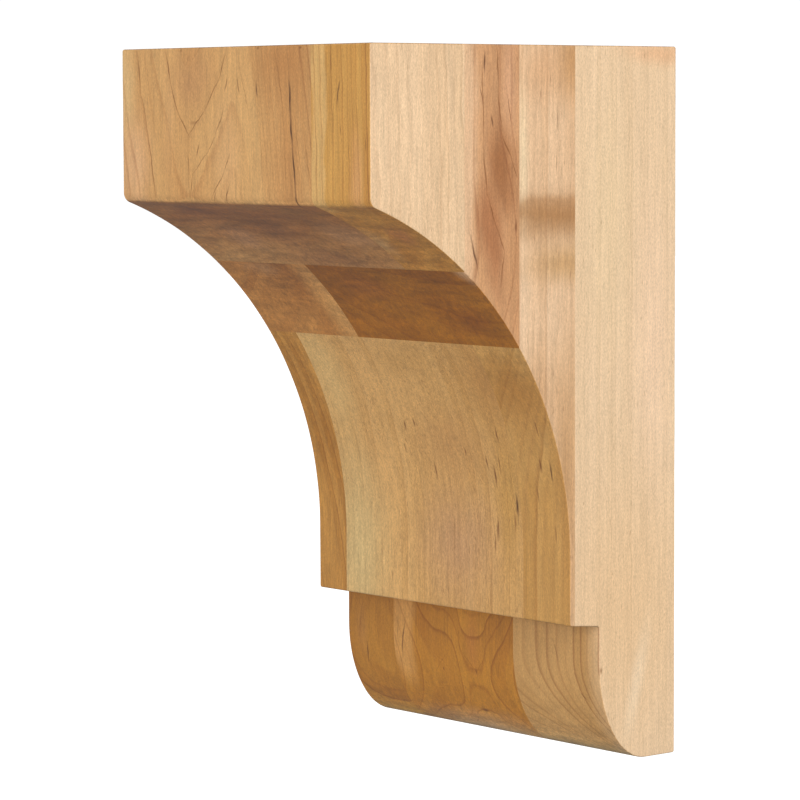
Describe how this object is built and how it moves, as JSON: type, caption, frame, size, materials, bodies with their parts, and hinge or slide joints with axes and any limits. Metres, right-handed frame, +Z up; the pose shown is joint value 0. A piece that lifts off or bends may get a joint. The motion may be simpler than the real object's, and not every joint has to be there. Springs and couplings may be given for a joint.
{
  "type": "wooden corbel bracket",
  "caption": "Solid hardwood corbel glued up from boards, with a square front block, a concave cove, a small step and a rounded foot, for carrying a shelf or a worktop overhang.",
  "frame": {"origin": "centre of the flat back face that lies on the wall", "axes": "+Z up along the height, +Y out of the back into the wall, +X across the width; the front block faces -Y"},
  "size_m": [0.127, 0.127, 0.2286],
  "materials": {
    "front_left_wood": "sanded, unfinished",
    "front_right_wood": "sanded, unfinished",
    "second_left_wood": "sanded, unfinished",
    "second_right_wood": "sanded, unfinished",
    "third_left_wood": "sanded, unfinished",
    "third_middle_wood": "sanded, unfinished",
    "third_right_wood": "sanded, unfinished",
    "wall_left_wood": "sanded, unfinished",
    "wall_middle_wood": "sanded, unfinished",
    "wall_right_wood": "sanded, unfinished"
  },
  "bodies": {
    "root": {"front_layer_left_board": "front_left_wood", "front_layer_right_board": "front_right_wood", "second_layer_left_board": "second_left_wood", "second_layer_right_board": "second_right_wood", "third_layer_left_board": "third_left_wood", "third_layer_middle_board": "third_middle_wood", "third_layer_right_board": "third_right_wood", "wall_layer_left_board": "wall_left_wood", "wall_layer_middle_board": "wall_middle_wood", "wall_layer_right_board": "wall_right_wood"}
  },
  "joints": []
}
